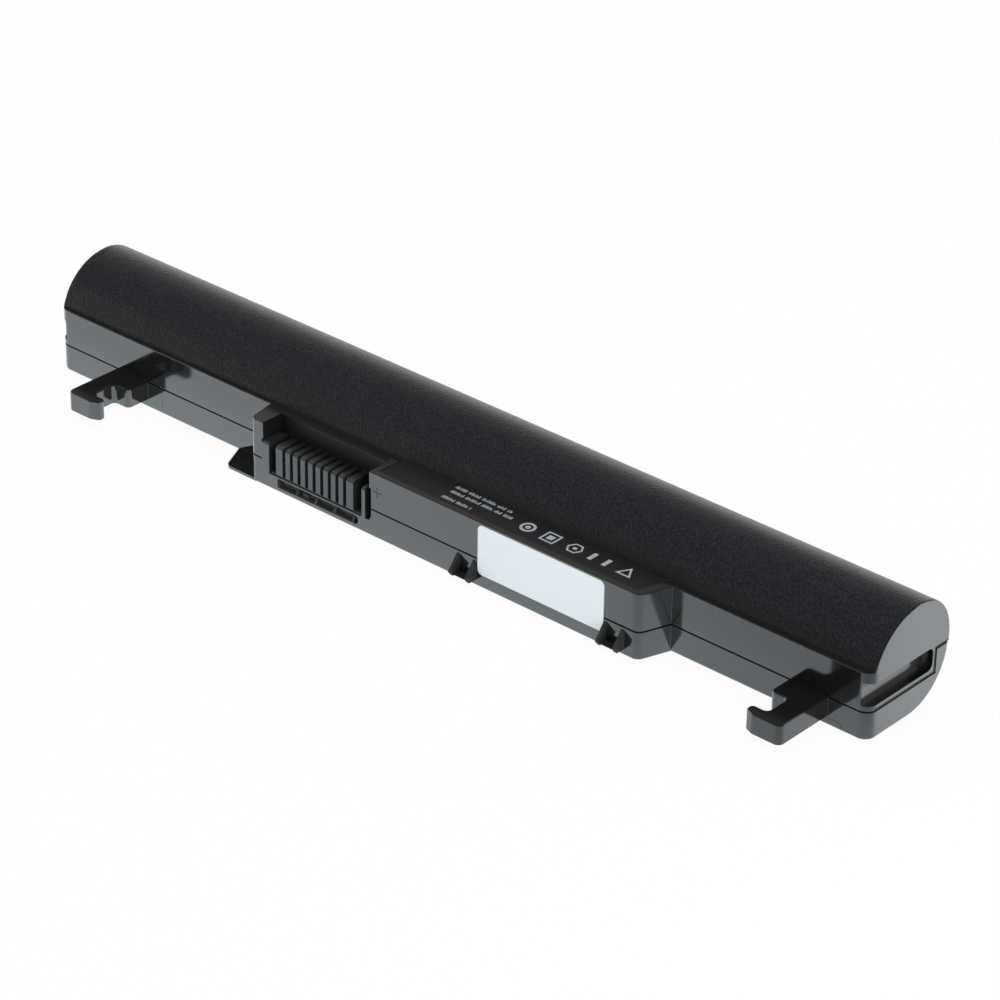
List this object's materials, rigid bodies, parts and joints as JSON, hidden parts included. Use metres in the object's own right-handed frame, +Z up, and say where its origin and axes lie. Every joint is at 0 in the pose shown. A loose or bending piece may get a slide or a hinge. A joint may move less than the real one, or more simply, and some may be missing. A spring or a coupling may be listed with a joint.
{
  "type": "laptop battery",
  "caption": "Long slim laptop battery: a round black barrel behind a flat front with a connector bay, two latch hooks and a guide groove in each end.",
  "frame": {"origin": "middle of the length, where the plane of the front wall meets the flat underside", "axes": "+X along the pack, -Y towards the latch hooks and the connector, +Z up from the underside"},
  "size_m": [0.204, 0.0362, 0.0225],
  "materials": {
    "case_black": "gloss on walls and ends, satin on the barrel",
    "connector_black": "satin",
    "contact_gold": "satin",
    "cell_sleeve": "satin",
    "insulator_paper": "matte",
    "adhesive_foam": "matte",
    "nickel": "satin",
    "lead_black": "satin",
    "lead_red": "satin",
    "board_green": "satin",
    "chip_black": "matte",
    "fuse_ceramic": "matte",
    "chip_resistor": "satin",
    "chip_capacitor": "satin",
    "bead_glaze": "gloss",
    "label_white": "satin"
  },
  "bodies": {
    "root": {"upper_shell": "case_black", "lower_shell": "case_black", "connector_body": "connector_black", "contact_blade_1": "contact_gold", "contact_blade_2": "contact_gold", "contact_blade_3": "contact_gold", "contact_blade_4": "contact_gold", "contact_blade_5": "contact_gold", "contact_blade_6": "contact_gold", "contact_blade_7": "contact_gold", "contact_blade_8": "contact_gold", "contact_blade_9": "contact_gold", "cell_1": "cell_sleeve", "cell_2": "cell_sleeve", "cell_3": "cell_sleeve", "insulator_ring_1": "insulator_paper", "insulator_ring_2": "insulator_paper", "insulator_ring_3": "insulator_paper", "adhesive_strip_1": "adhesive_foam", "adhesive_strip_2": "adhesive_foam", "adhesive_strip_3": "adhesive_foam", "series_link_1": "nickel", "series_link_2": "nickel", "negative_end_tab": "nickel", "positive_end_tab": "nickel", "negative_lead": "lead_black", "positive_lead": "lead_red", "circuit_board": "board_green", "fuel_gauge_chip": "chip_black", "protection_chip": "chip_black", "charge_mosfet": "chip_black", "discharge_mosfet": "chip_black", "chemical_fuse": "fuse_ceramic", "sense_resistor": "chip_resistor", "chip_capacitors": "chip_capacitor", "chip_resistors": "chip_resistor", "insulating_sheet": "insulator_paper", "thermistor": "bead_glaze", "label": "label_white"}
  },
  "joints": []
}
